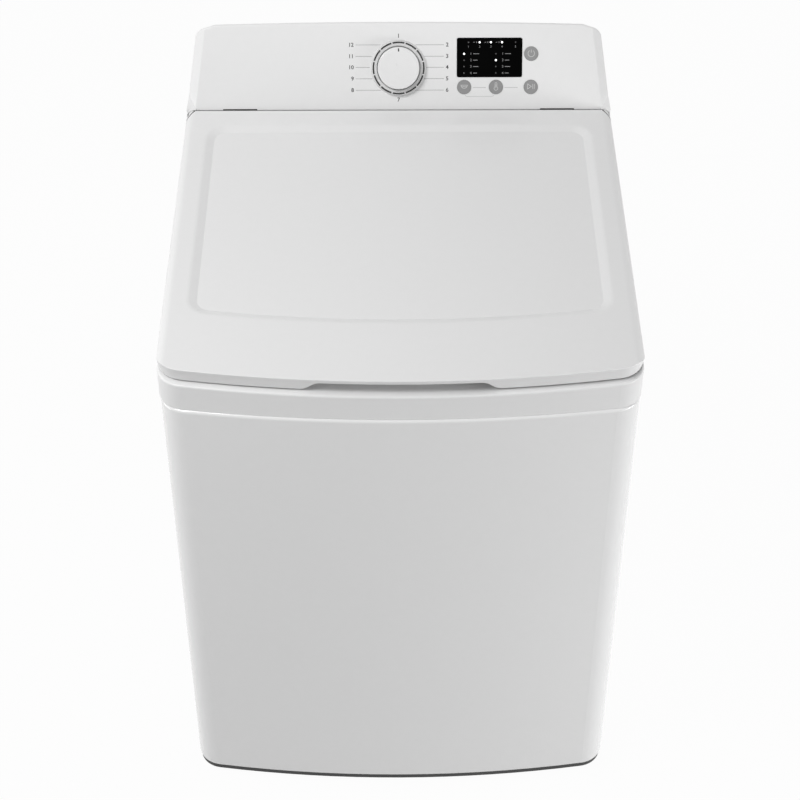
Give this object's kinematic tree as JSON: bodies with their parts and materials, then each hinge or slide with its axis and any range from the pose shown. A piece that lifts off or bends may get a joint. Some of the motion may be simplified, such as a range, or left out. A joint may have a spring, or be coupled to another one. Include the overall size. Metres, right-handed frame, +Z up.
{
  "type": "top load washing machine",
  "caption": "White top load washing machine with a bowed front, a hinged lid with a finger notch, a reclined console with dial, display and buttons, and a sprung tub with basket and impeller.",
  "frame": {"origin": "on the floor under the middle of the overall box", "axes": "+X to the right as seen from the front, +Y to the rear, +Z up"},
  "size_m": [0.686, 0.742, 1.0629],
  "materials": {
    "base_pan": "matte moulded",
    "foot_pads": "matte",
    "foot_studs": "zinc plated",
    "foot_lock_nuts": "zinc plated",
    "cabinet_shell": "white powder coat",
    "rear_panel": "galvanised",
    "top_cover": "white moulded",
    "console_housing": "white moulded",
    "console_back": "white moulded",
    "display_window": "black gloss",
    "control_board": "green board",
    "dial_bezel": "white moulded",
    "dial_marks": "dark grey",
    "cycle_knob": "white moulded",
    "knob_pointer": "dark grey",
    "knob_shaft": "moulded",
    "lid_outer": "white moulded",
    "lid_inner": "white moulded",
    "lid_bumpers": "grey",
    "lid_strike": "white moulded",
    "lid_lock": "dark grey moulded",
    "lock_bolt": "zinc plated",
    "hinge_brackets": "dark grey moulded",
    "hinge_pins": "plain",
    "hinge_leaves": "dark grey moulded",
    "outer_tub": "grey moulded",
    "tub_ring": "pale moulded",
    "tub_seal": "matte",
    "mount_plate": "galvanised",
    "gearcase": "cast",
    "main_bearings": "ground",
    "drive_motor": "painted",
    "drive_belt": "matte",
    "drive_pulley": "cast",
    "motor_pulley": "turned",
    "basket_wall": "polished stainless",
    "basket_floor": "polished stainless",
    "balance_ring": "pale grey moulded",
    "basket_hub": "cast",
    "spin_tube": "ground",
    "impeller": "pale grey moulded",
    "impeller_cap": "grey moulded",
    "wash_shaft": "ground",
    "corner_brackets": "galvanised",
    "suspension_rods": "zinc plated",
    "spring_cups": "moulded",
    "suspension_springs": "phosphated",
    "inlet_valve": "white moulded",
    "fill_nozzle": "white moulded",
    "drain_pump": "grey moulded",
    "sump_hose": "matte",
    "drain_hose": "grey",
    "drain_spigot": "grey moulded",
    "cord_gland": "black moulded",
    "power_button": "grey moulded",
    "level_button": "grey moulded",
    "temperature_button": "grey moulded",
    "start_button": "grey moulded"
  },
  "bodies": {
    "cabinet": {"base_pan": "base_pan", "foot_pads": "foot_pads", "foot_studs": "foot_studs", "foot_lock_nuts": "foot_lock_nuts", "cabinet_shell": "cabinet_shell", "rear_panel": "rear_panel", "top_cover": "top_cover", "console_housing": "console_housing", "console_back": "console_back", "display_window": "display_window", "control_board": "control_board", "dial_bezel": "dial_bezel", "dial_marks": "dial_marks", "lid_lock": "lid_lock", "hinge_brackets": "hinge_brackets", "hinge_pins": "hinge_pins", "corner_brackets": "corner_brackets", "suspension_rods": "suspension_rods", "spring_cups": "spring_cups", "suspension_springs": "suspension_springs", "inlet_valve": "inlet_valve", "fill_nozzle": "fill_nozzle", "drain_pump": "drain_pump", "sump_hose": "sump_hose", "drain_hose": "drain_hose", "drain_spigot": "drain_spigot", "cord_gland": "cord_gland"},
    "tub": {"outer_tub": "outer_tub", "tub_ring": "tub_ring", "tub_seal": "tub_seal", "mount_plate": "mount_plate", "gearcase": "gearcase", "main_bearings": "main_bearings", "drive_motor": "drive_motor", "drive_belt": "drive_belt"},
    "basket": {"basket_wall": "basket_wall", "basket_floor": "basket_floor", "balance_ring": "balance_ring", "basket_hub": "basket_hub", "spin_tube": "spin_tube"},
    "agitator_plate": {"impeller": "impeller", "impeller_cap": "impeller_cap", "wash_shaft": "wash_shaft"},
    "pulley": {"drive_pulley": "drive_pulley"},
    "rotor": {"motor_pulley": "motor_pulley"},
    "lid": {"lid_outer": "lid_outer", "lid_inner": "lid_inner", "lid_bumpers": "lid_bumpers", "lid_strike": "lid_strike", "hinge_leaves": "hinge_leaves"},
    "bolt": {"lock_bolt": "lock_bolt"},
    "knob": {"cycle_knob": "cycle_knob", "knob_pointer": "knob_pointer", "knob_shaft": "knob_shaft"},
    "power_button": {"power_button": "power_button"},
    "level_button": {"level_button": "level_button"},
    "temperature_button": {"temperature_button": "temperature_button"},
    "start_button": {"start_button": "start_button"}
  },
  "joints": [
    {"name": "lid_hinge", "type": "hinge", "parent": "cabinet", "child": "lid", "pos_m": [0, 0.24042, 0.93286], "axis": [-1, 0, 0], "range_deg": [0, 100]},
    {"name": "tub_bounce", "type": "slide", "parent": "cabinet", "child": "tub", "axis": [0, 0, 1], "range_m": [-0.025, 0.008], "stiffness_N_per_m": 22000, "springref_m": 0.01828, "deforming": ["suspension_springs", "sump_hose"]},
    {"name": "basket_spin", "type": "hinge", "parent": "tub", "child": "basket", "pos_m": [0, -0.011, 0.173], "axis": [0, 0, 1], "continuous": true},
    {"name": "impeller_spin", "type": "hinge", "parent": "tub", "child": "agitator_plate", "pos_m": [0, -0.011, 0.173], "axis": [0, 0, 1], "continuous": true},
    {"name": "pulley_spin", "type": "hinge", "parent": "tub", "child": "pulley", "pos_m": [0, -0.011, 0.07], "axis": [0, 0, 1], "continuous": true},
    {"name": "motor_spin", "type": "hinge", "parent": "tub", "child": "rotor", "pos_m": [-0.176, -0.011, 0.07], "axis": [0, 0, 1], "continuous": true},
    {"name": "knob_turn", "type": "hinge", "parent": "cabinet", "child": "knob", "pos_m": [0, 0.28492, 0.99994], "axis": [0, -0.8829, 0.4695], "continuous": true},
    {"name": "power_button_press", "type": "slide", "parent": "cabinet", "child": "power_button", "axis": [0, 0.8829, -0.4695], "range_m": [0, 0.0012], "stiffness_N_per_m": 800, "springref_m": -0.0005},
    {"name": "level_button_press", "type": "slide", "parent": "cabinet", "child": "level_button", "axis": [0, 0.8829, -0.4695], "range_m": [0, 0.0012], "stiffness_N_per_m": 800, "springref_m": -0.0005},
    {"name": "temperature_button_press", "type": "slide", "parent": "cabinet", "child": "temperature_button", "axis": [0, 0.8829, -0.4695], "range_m": [0, 0.0012], "stiffness_N_per_m": 800, "springref_m": -0.0005},
    {"name": "start_button_press", "type": "slide", "parent": "cabinet", "child": "start_button", "axis": [0, 0.8829, -0.4695], "range_m": [0, 0.0012], "stiffness_N_per_m": 800, "springref_m": -0.0005},
    {"name": "bolt_throw", "type": "slide", "parent": "cabinet", "child": "bolt", "axis": [1, 0, 0], "range_m": [0, 0.007]}
  ],
  "couplings": [
    {"joint": "pulley_spin", "follows": "impeller_spin", "ratio": 5},
    {"joint": "motor_spin", "follows": "impeller_spin", "ratio": 16.915}
  ]
}
